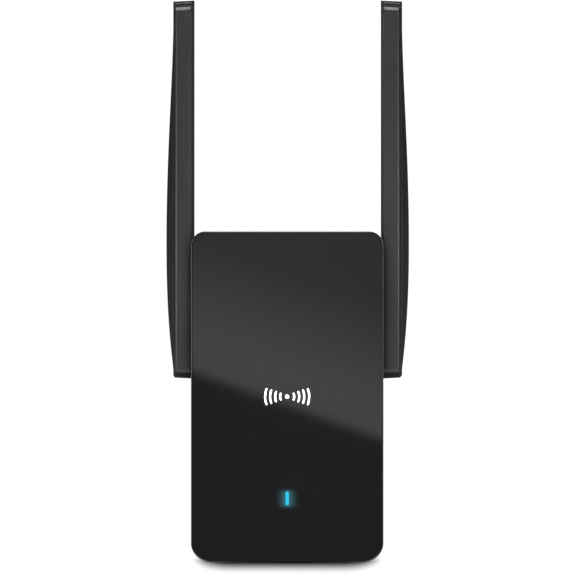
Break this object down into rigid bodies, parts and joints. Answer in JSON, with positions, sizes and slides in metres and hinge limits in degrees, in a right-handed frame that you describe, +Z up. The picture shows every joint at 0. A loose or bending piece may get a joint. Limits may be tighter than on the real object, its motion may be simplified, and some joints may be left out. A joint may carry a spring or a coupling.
{
  "type": "wifi range extender",
  "caption": "Plug-in wifi range extender: upright black case with a glossy front, status light slot, LAN jack, mains blades and two swinging paddle antennas.",
  "frame": {"origin": "on the flat rear face that meets the wall, midway between the two plug blades", "axes": "+Y out of the rear face into the wall socket, +Z up along the case, +X to the right seen from the front"},
  "size_m": [0.0736, 0.0455, 0.1673],
  "materials": {
    "gloss_panel": "piano-black gloss",
    "housing_plastic": "fine spark-eroded texture",
    "antenna_plastic": "fine matt texture",
    "circuit_board": "green solder mask",
    "tinned_steel": "tin plated",
    "plated_brass": "nickel plated",
    "gold_contact": "gold flash",
    "chip_plastic": "moulded epoxy",
    "heat_sink": "satin",
    "thermal_pad": "soft pad",
    "led": "clear resin",
    "light_pipe": "clear, lit blue",
    "jack_plastic": "satin",
    "ferrite": "sintered",
    "winding_tape": "polyester tape",
    "capacitor_sleeve": "sleeved can",
    "resistor_coat": "lacquer",
    "insulation": "satin",
    "label_paper": "satin film",
    "bearing_plastic": "acetal",
    "spring_steel": "bright",
    "coax_jacket": "smooth jacket",
    "red_wire": "smooth jacket",
    "black_wire": "smooth jacket",
    "white_wire": "smooth jacket",
    "plug_carrier": "satin"
  },
  "bodies": {
    "root": {"front_panel": "gloss_panel", "front_housing": "housing_plastic", "rear_cover": "housing_plastic", "rating_label": "label_paper", "led_light_pipe": "light_pipe", "blade_carrier": "plug_carrier", "plug_blade_left": "plated_brass", "plug_blade_right": "plated_brass", "mains_lead_left": "black_wire", "mains_lead_right": "white_wire", "power_board": "circuit_board", "transformer_core": "ferrite", "transformer_winding": "winding_tape", "input_capacitor_1": "capacitor_sleeve", "input_capacitor_2": "capacitor_sleeve", "output_capacitor": "capacitor_sleeve", "bridge_rectifier": "chip_plastic", "choke_coil": "ferrite", "fuse_resistor": "resistor_coat", "power_board_screw": "tinned_steel", "insulation_sheet": "insulation", "dc_lead_positive": "red_wire", "dc_lead_negative": "black_wire", "main_board": "circuit_board", "main_board_screw_1": "tinned_steel", "main_board_screw_2": "tinned_steel", "wifi_processor": "chip_plastic", "thermal_pad": "thermal_pad", "rf_shield_can": "tinned_steel", "heat_sink_plate": "heat_sink", "status_led": "led", "lan_jack_shield": "tinned_steel", "lan_jack_body": "jack_plastic", "lan_jack_contacts": "gold_contact", "lan_transformer": "chip_plastic", "wps_switch_body": "chip_plastic", "reset_switch_body": "chip_plastic", "left_antenna_connector": "gold_contact", "right_antenna_connector": "gold_contact", "left_coax_lead": "coax_jacket", "right_coax_lead": "coax_jacket", "left_pivot_bush": "bearing_plastic", "right_pivot_bush": "bearing_plastic", "left_friction_washer": "spring_steel", "right_friction_washer": "spring_steel"},
    "left_antenna": {"left_antenna_shell": "antenna_plastic", "left_antenna_cover": "antenna_plastic", "left_antenna_element": "circuit_board", "left_antenna_lead": "coax_jacket", "left_pivot_shaft": "tinned_steel", "left_retaining_clip": "spring_steel"},
    "right_antenna": {"right_antenna_shell": "antenna_plastic", "right_antenna_cover": "antenna_plastic", "right_antenna_element": "circuit_board", "right_antenna_lead": "coax_jacket", "right_pivot_shaft": "tinned_steel", "right_retaining_clip": "spring_steel"},
    "pairing_button": {"wps_button": "housing_plastic", "wps_switch_plunger": "insulation"},
    "reset_plunger": {"reset_switch_plunger": "insulation"}
  },
  "joints": [
    {"name": "left_antenna_hinge", "type": "hinge", "parent": "root", "child": "left_antenna", "pos_m": [-0.028, -0.0145, 0.0193], "axis": [1, 0, 0], "range_deg": [0, 180]},
    {"name": "right_antenna_hinge", "type": "hinge", "parent": "root", "child": "right_antenna", "pos_m": [0.028, -0.0145, 0.0193], "axis": [1, 0, 0], "range_deg": [0, 180]},
    {"name": "pairing_button_push", "type": "slide", "parent": "root", "child": "pairing_button", "axis": [-1, 0, 0], "range_m": [0, 0.0005], "stiffness_N_per_m": 400},
    {"name": "reset_push", "type": "slide", "parent": "root", "child": "reset_plunger", "axis": [-1, 0, 0], "range_m": [0, 0.0003], "stiffness_N_per_m": 300}
  ]
}
